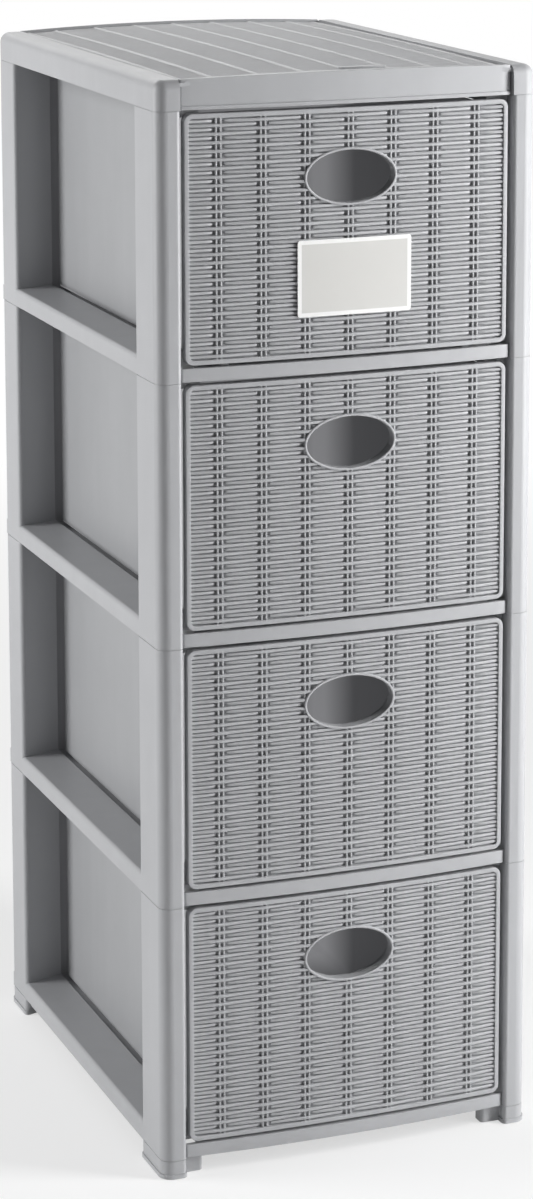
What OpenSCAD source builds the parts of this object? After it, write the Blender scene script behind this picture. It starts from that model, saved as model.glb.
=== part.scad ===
// Four-tier plastic drawer tower: stacked side frames, shelves and a domed top cover,
// with four sliding drawers behind woven-look fronts.
// Millimetres, +Z up. Origin on the floor, at the centre of the tower's footprint.

/* [Tower] */
// Width over the side frames
tower_w = 288; // [275:1:310]
// Depth of the side frames, from front face to rear face
tower_d = 374; // [350:1:400]
// Height from one tier's seam to the next
tier_pitch = 190.5; // [175:0.5:210]
// Height of the feet
foot_h = 13.5; // [11:0.5:18]
// Height of the top cover
cover_h = 24.5; // [23:0.5:30]
// Radius of the upright outer corners
corner_r = 9; // [7:0.5:11]
// Radius along the long edges of posts and rails
edge_r = 3; // [1.5:0.5:4]
// Gap left between pieces that seat in one another
fit_gap = 0.3; // [0.2:0.05:0.5]

/* [Side frames] */
// Wall thickness of posts and rails
frame_wall = 2.6; // [2.2:0.1:3.2]
// Width of a front post, seen from the front
front_post_w = 18; // [16:0.5:20]
// Depth of a front post, seen from the side
front_post_d = 47; // [40:1:54]
// Width of a rear post, seen from behind
rear_post_w = 33; // [30:0.5:36]
// Depth of a rear post at its outer face
rear_post_d = 40; // [36:1:46]
// How far the rear post's front web leans back over its width
web_lean = 10; // [6:0.5:12]
// Height of a side rail's outer face
side_rail_h = 13.3; // [12:0.1:16]
// Height of the spigot on top of each post
spigot_h = 6; // [4:0.5:8]
// Depth and height of the seam line round the top of a post
seam_step = 0.5; // [0.3:0.1:0.8]
// Height of the skirt below the lowest side rail
skirt_h = 6; // [4:0.5:8]
// How far that skirt lies inside the rail's outer face
skirt_inset = 4; // [3:0.5:6]

/* [Shelves] */
// Height of the front and rear rails
rail_h = 9.5; // [8.5:0.1:11]
// Wall thickness of the front and rear rails
rail_wall = 3; // [2.4:0.1:3.6]
// Set-back of the front rail's ends behind the posts' front faces
rail_setback = 3; // [2:0.1:4]
// How far the front rail's middle stands out from its ends
rail_bow = 5.5; // [4.5:0.1:7]
// Thickness of a deck
deck_t = 2.5; // [2:0.1:3]
// Width of the flange that carries the edge of a deck
flange_w = 9; // [7:0.5:12]
// Thickness of that flange
flange_t = 2.2; // [1.8:0.1:2.4]
// Height of the runner ribs on a deck
runner_h = 1; // [0.8:0.1:1.4]
// Width of a runner rib
runner_w = 6; // [4:0.5:9]
// Distance of the runner ribs from the middle
runner_x = 92; // [70:1:96]
// Number of ribs below a deck
deck_ribs = 4; // [2:1:6]
// Thickness of a rib
rib_t = 2; // [1.6:0.1:3]
// Height of a rib
rib_h = 4; // [2:0.5:5]

/* [Back panels] */
// Thickness of a back panel
back_t = 2.4; // [2:0.1:3]
// Distance from the rear faces to the back panel's front
back_inset = 22; // [20:0.5:26]
// Width and depth of the batten behind a back panel's edge
batten = 4; // [3:0.5:5]
// Width of the border round a back panel's sunk field
back_border = 14; // [8:1:24]
// Depth of that sunk field
back_sink = 0.8; // [0.4:0.1:1]

/* [Drawers] */
// Gap between a drawer front and the post beside it
side_gap = 3.5; // [2.5:0.1:4.5]
// Gap above a drawer front
top_gap = 2.9; // [2:0.1:4]
// Gap below a drawer front
bottom_gap = 2.2; // [1.8:0.1:3]
// Set-back of a drawer front's side edges behind the posts' front faces
front_setback = 2.4; // [2:0.1:3.5]
// How far a drawer front's middle stands out from its edges
front_bow = 4; // [3:0.1:5]
// Depth of a drawer front's turned-back edges
front_edge_d = 7; // [5:0.5:9]
// Thickness of a drawer front's plate
front_t = 2.4; // [2:0.1:3]
// Corner radius of a drawer front
front_corner_r = 6; // [4:0.5:8]
// Wall thickness of a drawer bin
bin_wall = 2; // [1.8:0.1:2.6]
// Gap between a bin's rolled edge and the rear posts
bin_side_gap = 1; // [0.8:0.1:1.6]
// How far a bin's rolled edge stands out from its wall
bin_lip = 2; // [1.5:0.1:2.5]
// Radius of a bin's upright rear corners
bin_corner_r = 14; // [8:1:20]
// Radius along the bottom edges of a bin
bin_floor_r = 7; // [4:0.5:10]
// Gap behind a closed bin
bin_back_gap = 6; // [4:0.5:10]
// Height of a bin's rolled edge
bin_lip_h = 3; // [2:0.5:5]
// How far a bin's front plate reaches into the drawer front's turned-back edges
nest_d = 2; // [1.4:0.1:2.2]

/* [Weave] */
// Number of stake pairs across a front
stake_pairs = 7; // [5:1:9]
// Distance from one pair to the next
stake_pitch = 32.6; // [28:0.1:34]
// Width of a pair of stakes, drawn as one flat upright
stake_w = 5.6; // [4:0.1:7]
// Height of the stakes above the plate
stake_h = 1.1; // [0.8:0.1:1.3]
// Height of a strand where it passes over a pair
strand_over = 1.6; // [1.4:0.1:2]
// Height of a strand where it dives under a pair
strand_under = 0.3; // [0.2:0.1:0.5]
// Height of one strand
strand_pitch = 3; // [2.8:0.1:4]
// Width of the plain rim round a front
rim_w = 3.2; // [2.6:0.1:4]
// Height of that rim above the plate
rim_h = 2; // [1.8:0.1:2.4]

/* [Finger hole] */
// Width of the finger hole
hole_w = 66.5; // [50:0.5:80]
// Height of the finger hole
hole_h = 37.5; // [28:0.5:46]
// Width of the raised rim round the hole
hole_rim_w = 1.8; // [1.4:0.1:2.6]
// Height of that rim above the plate
hole_rim_h = 2.2; // [2:0.1:2.6]
// Depth of the short collar inside the hole, from the plate's face
hole_collar_d = 5; // [4:0.5:6]
// Distance from a front's top edge to the middle of the hole
hole_drop = 48.5; // [36:0.5:60]

/* [Label] */
// Width of the label
label_w = 86.5; // [60:0.5:100]
// Height of the label
label_h = 54.5; // [40:0.5:70]
// Thickness of the label
label_t = 0.5; // [0.4:0.1:0.8]
// Distance from the top front's upper edge to the middle of the label
label_drop = 119.5; // [105:0.5:135]
// Distance of the label's middle from the tower's middle
label_shift = 3; // [-20:1:20]
// Corner radius of the label
label_r = 2; // [1:0.5:4]

/* [Top cover] */
// Wall thickness of the cover
cover_wall = 2.6; // [2.2:0.1:3.2]
// Radius over the top of the cover's side rails
cover_round_r = 8; // [6:0.5:9]
// Radius over the ends of the cover's side rails
cover_end_r = 5; // [4:0.5:8]
// Rise of the panel from its side edges to its middle
crown_x = 3.5; // [2:0.1:5]
// Rise of the panel from its front edge to its middle
crown_y = 3; // [2:0.1:4]
// Drop of the panel's edges below the top of the front band
panel_drop = 3.8; // [2.5:0.1:4.4]
// Height of the rim that the rear band forms behind the panel
rear_rim_h = 0.8; // [0.4:0.1:1.4]
// Width of a ridge on the panel
ridge_w = 1.6; // [1.2:0.1:2.4]
// Height of a ridge on the panel
ridge_h = 0.8; // [0.5:0.1:1.2]
// Height of the lip along the front band's lower edge
band_lip_h = 2.6; // [2:0.1:3.4]
// How far the band lies back from that lip
band_lip_d = 1; // [0.6:0.1:1.4]

/* [Feet] */
// How far a foot flares beyond the post above it
foot_flare = 0.8; // [0.4:0.1:1.2]
// Height of the flared sole
sole_h = 3; // [2:0.5:5]
// How far a foot's tab reaches beyond its post
tab_w = 15; // [10:0.5:20]
// Depth of that tab
tab_d = 12; // [8:0.5:16]
// Set-back of the tab behind the foot's front face
tab_setback = 8; // [6:0.5:12]

/* [Hidden] */

$fn = 48;
eps = 0.01;
least_r = 0.4;
LEFT = -1;
RIGHT = 1;
frame_colour = [0.66, 0.67, 0.69];
front_colour = [0.60, 0.61, 0.63];
label_colour = [0.93, 0.93, 0.92];

tiers = 4;
half_w = tower_w / 2;
// The footprint runs from the front rails' middle to the rear feet's flare
front_y = -(tower_d + foot_flare - (rail_bow - rail_setback)) / 2;
rear_y = front_y + tower_d;
top_z = foot_h + tiers * tier_pitch + cover_h;
jamb_x = half_w - front_post_w;
bay_x = half_w - rear_post_w;
deck_top = rail_h;
flange_top = rail_h - deck_t;
back_y = rear_y - back_inset;
rear_web_y = rear_y - rear_post_d;

front_w = 2 * (jamb_x - side_gap);
front_z0 = rail_h + bottom_gap;
front_h = tier_pitch - front_z0 - top_gap;
front_face_y = front_y + front_setback;
bin_x = bay_x - bin_side_gap - bin_lip;
bin_z0 = deck_top + runner_h + fit_gap;
bin_z1 = front_z0 + front_h - rim_w - fit_gap;
bin_y0 = front_face_y + front_edge_d + fit_gap;
bin_y1 = back_y - bin_back_gap;
hole_z = front_z0 + front_h - hole_drop;

// Height of the lowest seam of a tier, counted from the bottom
function seam_z(tier) = foot_h + (tier - 1) * tier_pitch;

// How far an arc of the given rise and half chord stands out at x
function arc_rise(x, half, rise) =
    let (r = (half * half + rise * rise) / (2 * rise)) sqrt(r * r - x * x) - (r - rise);

// Points from one end of a bowed line to the other
arc_steps = 24;
function bow_line(half, y, bow) =
    [for (i = [0:arc_steps])
        let (x = -half + 2 * half * i / arc_steps) [x, y - arc_rise(x, half, bow)]];

function ellipse_points(w, h, count = 48) =
    [for (i = [0:count - 1]) let (a = 360 * i / count) [w / 2 * cos(a), h / 2 * sin(a)]];

// Rectangle with its own radius at each corner, from front left against the clock
module soft_rect(w, d, r) {
    polygon([[r[0], 0], [w - r[1], 0], [w, r[1]], [w, d - r[2]],
             [w - r[2], d], [r[3], d], [0, d - r[3]], [0, r[0]]]);
    translate([r[0], r[0]]) circle(r[0]);
    translate([w - r[1], r[1]]) circle(r[1]);
    translate([w - r[2], d - r[2]]) circle(r[2]);
    translate([r[3], d - r[3]]) circle(r[3]);
}

// Plan of a left front post, drawn in by an inset
module front_post_plan(inset = 0) {
    small = max(edge_r - inset, least_r);
    translate([-half_w + inset, front_y + inset])
        soft_rect(front_post_w - 2 * inset, front_post_d - 2 * inset,
                  [max(corner_r - inset, least_r), small, small, small]);
}

// Plan of a left rear post, whose front web leans back towards the drawer
module rear_post_plan(inset = 0) {
    w = rear_post_w - 2 * inset;
    d = rear_post_d - 2 * inset;
    r = max(corner_r - inset, least_r);
    translate([-half_w + inset, rear_web_y + inset]) {
        polygon([[edge_r, 0], [w, web_lean], [w, d], [r, d], [0, d - r], [0, edge_r]]);
        translate([r, d - r]) circle(r);
        translate([edge_r, edge_r]) circle(edge_r);
    }
}

// Mirrors a left-hand piece to the given side
module on_side(side) {
    if (side == LEFT) children();
    else mirror([1, 0, 0]) children();
}

// Hollow post, open below, with a seam line round its top and a spigot for the piece above
module hollow_post(height, is_front) {
    difference() {
        union() {
            linear_extrude(height - seam_step) post_plan(is_front, 0);
            linear_extrude(height) post_plan(is_front, seam_step);
            linear_extrude(height + spigot_h) post_plan(is_front, frame_wall + fit_gap);
        }
        translate([0, 0, -eps]) linear_extrude(height - frame_wall) post_plan(is_front, frame_wall);
        translate([0, 0, -eps])
            linear_extrude(height + spigot_h + 2 * eps) post_plan(is_front, 2 * frame_wall + fit_gap);
    }
}

module post_plan(is_front, inset) {
    if (is_front) front_post_plan(inset);
    else rear_post_plan(inset);
}

// Section of a left side rail: outer wall with a rounded top edge, ledge, inner wall and flange
module side_rail_section() {
    translate([-half_w, 0]) {
        polygon([[0, 0], [frame_wall, 0], [frame_wall, side_rail_h - frame_wall],
                 [rear_post_w - frame_wall, side_rail_h - frame_wall],
                 [rear_post_w - frame_wall, flange_top - flange_t],
                 [rear_post_w + flange_w, flange_top - flange_t],
                 [rear_post_w + flange_w, flange_top], [rear_post_w, flange_top],
                 [rear_post_w, side_rail_h], [edge_r, side_rail_h], [0, side_rail_h - edge_r]]);
        translate([edge_r, side_rail_h - edge_r]) circle(edge_r);
    }
}

module along_y(from_y, to_y) {
    translate([0, to_y, 0]) rotate([90, 0, 0]) linear_extrude(to_y - from_y) children();
}

// One tier's side frame: front post, rear post, side rail and the batten behind the back panel
module side_frame(tier, side) {
    rail_from = front_face_y + front_edge_d + 2 * fit_gap;
    color(frame_colour)
        on_side(side) translate([0, 0, seam_z(tier)]) {
            hollow_post(tier_pitch, true);
            hollow_post(tier_pitch, false);
            // The rail joins the posts' inner faces and carries the deck's edge
            difference() {
                along_y(rail_from, rear_y - frame_wall - rail_wall - fit_gap) side_rail_section();
                for (is_front = [true, false])
                    translate([0, 0, -eps])
                        linear_extrude(side_rail_h + 2 * eps) post_plan(is_front, frame_wall / 2);
            }
            translate([-bay_x - eps, back_y + back_t + fit_gap, rail_h + fit_gap])
                cube([batten + eps, batten, tier_pitch - rail_h - 2 * fit_gap]);
            if (tier == 1)
                translate([-half_w + skirt_inset, front_y + front_post_d + fit_gap, -skirt_h])
                    cube([frame_wall, tower_d - front_post_d - rear_post_d - 2 * fit_gap,
                          skirt_h + side_rail_h - frame_wall + eps]);
        }
}

// Shelf: deck on the side rails' flanges, bowed front rail, rear rail, runners and ribs below
module shelf(tier) {
    rail_x = jamb_x - fit_gap;
    deck_x = bay_x - fit_gap;
    rail_y = front_y + rail_setback;
    rear_rail_y = rear_y - frame_wall;
    face = bow_line(rail_x, rail_y, rail_bow);
    color(frame_colour) translate([0, 0, seam_z(tier)]) {
        // Front rail
        linear_extrude(rail_h)
            polygon(concat(face, [[rail_x, rail_y + rail_wall], [-rail_x, rail_y + rail_wall]]));
        // Deck
        translate([-deck_x, rail_y + eps, flange_top])
            cube([2 * deck_x, rear_rail_y - rail_y - eps, deck_t]);
        // Rear rail
        translate([-deck_x, rear_rail_y - rail_wall, 0]) cube([2 * deck_x, rail_wall, rail_h]);
        // Runners
        for (x = [-runner_x, runner_x])
            translate([x - runner_w / 2, rail_y + rail_wall, deck_top - eps])
                cube([runner_w, back_y - fit_gap - rail_y - rail_wall, runner_h + eps]);
        // Ribs below the deck, clear of the flanges
        rib_x = bay_x - flange_w - 2 * fit_gap;
        for (i = [1:deck_ribs])
            translate([-rib_x, rail_y + i * (rear_rail_y - rail_y) / (deck_ribs + 1) - rib_t / 2,
                       flange_top - rib_h])
                cube([2 * rib_x, rib_t, rib_h + eps]);
    }
}

// Back panel, standing on its shelf's deck behind the drawer
module back_panel(tier) {
    panel_x = bay_x - fit_gap;
    panel_z = tier_pitch + flange_top - flange_t - fit_gap - deck_top;
    color(frame_colour) translate([0, back_y, seam_z(tier) + deck_top]) {
        difference() {
            translate([-panel_x, 0, 0]) cube([2 * panel_x, back_t, panel_z]);
            // Shallow sunk field on the rear face
            translate([-panel_x + back_border, back_t - back_sink, back_border])
                cube([2 * (panel_x - back_border), back_t, panel_z - 2 * back_border]);
        }
    }
}

// Outline of the cover's side rail, seen from the front
module cover_rail_section(inset = 0) {
    w = front_post_w - 2 * inset;
    r = cover_round_r - inset;
    top_r = max(edge_r - inset, least_r);
    translate([-half_w + inset, inset > 0 ? -eps : 0]) {
        h = cover_h - inset + (inset > 0 ? eps : 0);
        polygon([[0, 0], [w, 0], [w, h - top_r], [w - top_r, h], [r, h], [0, h - r]]);
        translate([r, h - r]) circle(r);
        translate([w - top_r, h - top_r]) circle(top_r);
    }
}

// Outline of the cover's side rail, seen from the side
module cover_rail_profile() {
    d = tower_d;
    r = cover_end_r;
    translate([front_y, 0]) {
        polygon([[0, 0], [d, 0], [d, cover_h - r], [d - r, cover_h], [r, cover_h], [0, cover_h - r]]);
        for (y = [r, d - r]) translate([y, cover_h - r]) circle(r);
    }
}

// One side rail of the cover with its rounded ends, hollow below
module cover_rail() {
    difference() {
        intersection() {
            along_y(front_y, rear_y) cover_rail_section();
            linear_extrude(cover_h)
                translate([-half_w, front_y])
                    soft_rect(front_post_w, tower_d, [corner_r, edge_r, edge_r, corner_r]);
            translate([-half_w, 0, 0])
                rotate([90, 0, 90]) linear_extrude(front_post_w) cover_rail_profile();
        }
        intersection() {
            along_y(front_y + cover_wall, rear_y - cover_wall) cover_rail_section(cover_wall);
            translate([-half_w + cover_wall, front_y + cover_wall, -eps])
                linear_extrude(cover_h)
                    soft_rect(front_post_w - 2 * cover_wall, tower_d - 2 * cover_wall,
                              [corner_r - cover_wall, least_r, least_r, corner_r - cover_wall]);
        }
    }
}

// Domed top panel: an arched section turned about a far axis, with ridges front to back
module cover_panel() {
    panel_x = jamb_x;
    half_d = (rear_y - front_y) / 2 - rail_wall;
    turn_r = (half_d * half_d + crown_y * crown_y) / (2 * crown_y);
    swing = asin(half_d / turn_r);
    rim_z = cover_h - panel_drop - crown_x;
    base = turn_r;
    upper = [for (i = [0:arc_steps])
        let (x = -panel_x + 2 * panel_x * i / arc_steps)
            [base + rim_z + arc_rise(x, panel_x, crown_x), x]];
    lower = [for (i = [arc_steps:-1:0])
        let (x = -panel_x + 2 * panel_x * i / arc_steps)
            [base + rim_z - cover_wall + arc_rise(x, panel_x, crown_x), x]];
    translate([0, (front_y + rear_y) / 2, crown_y - turn_r])
        rotate([0, 90, 0]) rotate([0, 0, 180 - swing])
            rotate_extrude(angle = 2 * swing, $fn = 1200) {
                polygon(concat(upper, lower));
                for (i = [0:stake_pairs - 1])
                    let (x = (i - (stake_pairs - 1) / 2) * stake_pitch)
                        translate([base + rim_z - cover_wall / 2 + arc_rise(x, panel_x, crown_x),
                                   x - ridge_w / 2])
                            square([cover_wall / 2 + ridge_h, ridge_w]);
            }
}

// Top cover: two side rails, bowed front band, rear band and domed panel in one moulding
module top_cover() {
    band_x = jamb_x;
    band_y = front_y + rail_setback;
    face = bow_line(band_x, band_y, rail_bow);
    back = bow_line(band_x, band_y + band_lip_d, rail_bow);
    band_top = cover_h - crown_x;
    color(frame_colour) translate([0, 0, seam_z(tiers + 1)])
        difference() {
            union() {
                for (side = [LEFT, RIGHT]) on_side(side) cover_rail();
                // Front band: lip along its lower edge, arched top edge
                intersection() {
                    union() {
                        linear_extrude(band_lip_h)
                            polygon(concat(face, [[band_x, band_y + rail_wall],
                                                  [-band_x, band_y + rail_wall]]));
                        linear_extrude(cover_h)
                            polygon(concat(back, [[band_x, band_y + rail_wall + band_lip_d],
                                                  [-band_x, band_y + rail_wall + band_lip_d]]));
                    }
                    along_y(band_y - rail_bow - eps, band_y + rail_wall + band_lip_d + eps)
                        arched_field(band_x, band_top);
                }
                // Rear band behind the sockets, level with the panel's rear edge
                along_y(rear_y - frame_wall - seam_step, rear_y - seam_step)
                    arched_field(band_x, band_top - panel_drop + rear_rim_h);
                cover_panel();
            }
            // Sockets for the rear posts' spigots
            for (side = [LEFT, RIGHT])
                on_side(side) translate([0, 0, -eps])
                    linear_extrude(spigot_h + fit_gap) rear_post_plan(frame_wall);
        }
}

// Upright field with an arched top edge
module arched_field(half, side_h) {
    polygon(concat([for (i = [0:arc_steps])
        let (x = -half + 2 * half * i / arc_steps) [x, side_h + arc_rise(x, half, crown_x)]],
        [[half, 0], [-half, 0]]));
}

// Foot under a post: flared sole, body, spigot into the post and a tab towards the middle
module foot(is_front, side) {
    color(frame_colour) on_side(side) {
        difference() {
            union() {
                linear_extrude(sole_h) post_plan(is_front, -foot_flare);
                linear_extrude(foot_h - seam_step) post_plan(is_front, 0);
                linear_extrude(foot_h) post_plan(is_front, seam_step);
                linear_extrude(foot_h + spigot_h) post_plan(is_front, frame_wall + fit_gap);
            }
            translate([0, 0, frame_wall])
                linear_extrude(foot_h + spigot_h) post_plan(is_front, 2 * frame_wall + fit_gap);
            translate([0, 0, frame_wall])
                linear_extrude(foot_h - 2 * frame_wall) post_plan(is_front, frame_wall);
        }
        reach = is_front ? front_post_w : rear_post_w;
        tab_y = is_front ? front_y + tab_setback : rear_y - tab_setback - tab_d;
        translate([-half_w + reach - frame_wall / 2, tab_y, 0])
            linear_extrude(foot_h - fit_gap)
                soft_rect(tab_w + frame_wall / 2, tab_d, [least_r, edge_r, edge_r, least_r]);
    }
}

// Box with rounded floor edges and rear corners, drawn in by an inset: a bin's outside and inside
module bin_shape(inset) {
    w = bin_x - inset;
    y0 = bin_y0 + inset;
    y1 = bin_y1 - inset;
    z0 = bin_z0 + inset;
    h = bin_z1 - z0 + (inset > 0 ? eps : 0);
    plan_r = bin_corner_r - inset;
    floor_r = bin_floor_r - inset;
    intersection() {
        translate([-w, y0, z0])
            linear_extrude(h) soft_rect(2 * w, y1 - y0, [floor_r, floor_r, plan_r, plan_r]);
        along_y(y0, y1) translate([-w, z0]) soft_rect(2 * w, h, [floor_r, floor_r, least_r, least_r]);
        translate([-w, y0, z0]) rotate([90, 0, 90])
            linear_extrude(2 * w) soft_rect(y1 - y0, h, [least_r, floor_r, least_r, least_r]);
    }
}

// Drawer bin: open box with a rolled edge and a front plate that carries the drawer front
module drawer_bin(tier) {
    plate_x = front_w / 2 - rim_w - fit_gap;
    plate_h = front_h - 2 * (rim_w + fit_gap);
    hole_margin = 2 * (hole_rim_w + fit_gap);
    color(frame_colour) translate([0, 0, seam_z(tier)])
        difference() {
            union() {
                bin_shape(0);
                // Rolled edge along the sides and the rear
                translate([-bin_x - bin_lip, bin_y0, bin_z1 - bin_lip_h])
                    linear_extrude(bin_lip_h)
                        soft_rect(2 * (bin_x + bin_lip), bin_y1 + bin_lip - bin_y0,
                                  [least_r, least_r, bin_corner_r + bin_lip, bin_corner_r + bin_lip]);
                // Front plate, nested in the turned-back edges of the drawer front
                translate([-plate_x, bin_y0 - fit_gap - nest_d, front_z0 + rim_w + fit_gap])
                    cube([2 * plate_x, nest_d + fit_gap + eps, plate_h]);
            }
            bin_shape(bin_wall);
            translate([0, 0, bin_z1 - bin_lip_h - eps])
                linear_extrude(bin_lip_h + 2 * eps)
                    translate([-bin_x + bin_wall, bin_y0 + bin_wall])
                        soft_rect(2 * (bin_x - bin_wall), bin_y1 - bin_y0 - 2 * bin_wall,
                                  [least_r, least_r, bin_corner_r - bin_wall, bin_corner_r - bin_wall]);
            // Oval behind the finger hole, wider than its rim by the fitting gap
            translate([0, 0, hole_z])
                along_y(bin_y0 - fit_gap - nest_d - eps, bin_y0 + bin_wall + eps)
                    polygon(ellipse_points(hole_w + hole_margin, hole_h + hole_margin));
        }
}

// Middles of the stake pairs
stake_x = [for (i = [0:stake_pairs - 1]) (i - (stake_pairs - 1) / 2) * stake_pitch];

// Height of a strand above the plate at one of its crossings
function crossing(row, column) = (row + column) % 2 == 0 ? strand_over : strand_under;

// Plate surface of a drawer front at x
function front_surface(x) = front_face_y + rim_h - arc_rise(x, front_w / 2, front_bow);

// One strand: over one pair of stakes, under the next, its ends let into the rim
module strand(row, half) {
    end_y = front_surface(half) - (strand_over + strand_under) / 2;
    inner_y = front_surface(half) + front_t / 2;
    near = [for (i = [0:stake_pairs - 1]) [stake_x[i], front_surface(stake_x[i]) - crossing(row, i)]];
    far = [for (i = [stake_pairs - 1:-1:0]) [stake_x[i], front_surface(stake_x[i]) + front_t / 2]];
    linear_extrude(strand_pitch)
        polygon(concat([[-half - eps, inner_y], [-half - eps, end_y], [-half, end_y]], near,
                       [[half, end_y], [half + eps, end_y], [half + eps, inner_y]], far));
}

// Bowed slab as wide as a drawer front, from one height over the plate to another
module bowed_slab(from_h, to_h) {
    near = [for (p = bow_line(front_w / 2, front_face_y + rim_h, front_bow)) [p[0], p[1] - to_h]];
    far = [for (i = [arc_steps:-1:0])
        let (x = -front_w / 2 + front_w * i / arc_steps) [x, front_surface(x) - from_h]];
    linear_extrude(front_h) polygon(concat(near, far));
}

// Drawer front: rimmed, bowed and woven, with turned-back edges and a rimmed finger hole
module drawer_front(tier) {
    field_x = front_w / 2 - rim_w;
    field_h = front_h - 2 * rim_w;
    rows = floor(field_h / strand_pitch);
    first_z = (front_h - rows * strand_pitch) / 2;
    edge_back = front_face_y + front_edge_d;
    color(front_colour) translate([0, 0, seam_z(tier) + front_z0])
        difference() {
            union() {
                // Plate, rim and turned-back edges inside the rounded outline
                intersection() {
                    along_y(front_y - rail_bow, edge_back)
                        translate([-front_w / 2, 0])
                            soft_rect(front_w, front_h, front_corner_r * [1, 1, 1, 1]);
                    union() {
                        bowed_slab(-front_t, 0);
                        difference() {
                            linear_extrude(front_h)
                                polygon(concat(bow_line(front_w / 2, front_face_y, front_bow),
                                               [[front_w / 2, edge_back], [-front_w / 2, edge_back]]));
                            translate([-front_w / 2 + rim_w, front_y - rail_bow - 1, rim_w])
                                cube([front_w - 2 * rim_w, tower_d, field_h]);
                        }
                    }
                }
                // Strands and stakes
                for (row = [0:rows - 1])
                    translate([0, 0, first_z + row * strand_pitch]) strand(row, field_x);
                for (x = stake_x)
                    translate([x - stake_w / 2, front_surface(x) - stake_h, rim_w - eps])
                        cube([stake_w, stake_h + front_t / 2, field_h + 2 * eps]);
                // Rim and collar round the finger hole
                translate([0, 0, hole_z - front_z0])
                    along_y(front_surface(0) - hole_rim_h, front_surface(0) + hole_collar_d)
                        polygon(ellipse_points(hole_w + 2 * hole_rim_w, hole_h + 2 * hole_rim_w));
            }
            translate([0, 0, hole_z - front_z0])
                along_y(front_y - rail_bow - 1, edge_back + 1) polygon(ellipse_points(hole_w, hole_h));
        }
}

// Label on the top drawer's front
module label() {
    face = strand_over + fit_gap;
    color(label_colour)
        translate([0, 0, seam_z(tiers) + front_z0 + front_h - label_drop - label_h / 2])
            intersection() {
                linear_extrude(label_h)
                    polygon(concat(
                        [for (p = bow_line(front_w / 2, front_face_y + rim_h - face - label_t, front_bow)) p],
                        [for (i = [arc_steps:-1:0])
                            let (x = -front_w / 2 + front_w * i / arc_steps) [x, front_surface(x) - face]]));
                along_y(front_y - rail_bow - 1, front_y + front_edge_d)
                    translate([label_shift - label_w / 2, 0])
                        soft_rect(label_w, label_h, label_r * [1, 1, 1, 1]);
            }
}

foot(true, LEFT);  // foot_front_left
foot(true, RIGHT);  // foot_front_right
foot(false, LEFT);  // foot_rear_left
foot(false, RIGHT);  // foot_rear_right
side_frame(1, LEFT);  // side_frame_left_1
side_frame(2, LEFT);  // side_frame_left_2
side_frame(3, LEFT);  // side_frame_left_3
side_frame(4, LEFT);  // side_frame_left_4
side_frame(1, RIGHT);  // side_frame_right_1
side_frame(2, RIGHT);  // side_frame_right_2
side_frame(3, RIGHT);  // side_frame_right_3
side_frame(4, RIGHT);  // side_frame_right_4
shelf(1);  // shelf_1
shelf(2);  // shelf_2
shelf(3);  // shelf_3
shelf(4);  // shelf_4
back_panel(1);  // back_panel_1
back_panel(2);  // back_panel_2
back_panel(3);  // back_panel_3
back_panel(4);  // back_panel_4
top_cover();
drawer_bin(1);  // drawer_bin_1
drawer_bin(2);  // drawer_bin_2
drawer_bin(3);  // drawer_bin_3
drawer_bin(4);  // drawer_bin_4
drawer_front(1);  // drawer_front_1
drawer_front(2);  // drawer_front_2
drawer_front(3);  // drawer_front_3
drawer_front(4);  // drawer_front_4
label();
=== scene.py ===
import math

import bmesh
import bpy
from mathutils import Matrix, Vector


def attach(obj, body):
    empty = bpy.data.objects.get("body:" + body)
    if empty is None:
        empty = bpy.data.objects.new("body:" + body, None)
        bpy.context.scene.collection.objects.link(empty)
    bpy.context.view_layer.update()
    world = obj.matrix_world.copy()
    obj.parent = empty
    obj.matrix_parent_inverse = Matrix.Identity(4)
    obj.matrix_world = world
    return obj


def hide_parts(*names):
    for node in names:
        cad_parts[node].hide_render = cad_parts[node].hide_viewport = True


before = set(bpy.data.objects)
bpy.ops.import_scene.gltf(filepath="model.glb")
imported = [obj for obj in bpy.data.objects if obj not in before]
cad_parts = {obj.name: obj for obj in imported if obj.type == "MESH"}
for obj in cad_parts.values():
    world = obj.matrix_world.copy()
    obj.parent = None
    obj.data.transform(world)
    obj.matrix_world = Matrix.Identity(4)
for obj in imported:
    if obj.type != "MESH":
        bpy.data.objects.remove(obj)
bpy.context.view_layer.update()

# ---------------------------------------------------------------- sizes, in metres
FINE = 1e-6             # two vertices this near each other count as level
CLOSE = 1e-5            # a vertex this near a plane counts as on it
SKIN = 0.001            # a piece's front vertices lie within this depth of its face
LAP = 0.0001            # overlap of parts that are welded

TIERS = 4
PITCH = 0.1905          # from one tier's seam to the next
FOOT_H = 0.0135
FRONT_Y = -0.18615      # front faces of the posts
REAR_Y = 0.18785
HALF_W = 0.144
POST_W = 0.018
JAMB_X = HALF_W - POST_W
BAY_X = HALF_W - 0.033  # half the width of a drawer's bay
GAP = 0.0003
BOW_STEPS = 30          # straight steps in the bow of a front, a rail or the band

# Shelves
RAIL_H = 0.0095
RAIL_WALL = 0.003
RAIL_BACK = 0.003       # set-back of a rail's ends
RAIL_BOW = 0.0055
RAIL_END_ROUND = 0.002
RAIL_ROUND = 0.0014
DECK_T = 0.0025
DECK_FRONT = 0.0022     # from a rail's ends back to the deck
DECK_REAR = 0.0026      # from the deck back to the tower's rear
SHELF_SOFT = 0.0005
RUNNER_X = 0.092
RUNNER_HALF = 0.003
RUNNER_H = 0.001
TRACK_REAR = 0.0225     # from the ends of runners and lips back to the tower's rear
RIBS = 4
RIB_X = 0.1014
RIB_HALF = 0.001
RIB_D = 0.004

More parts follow.
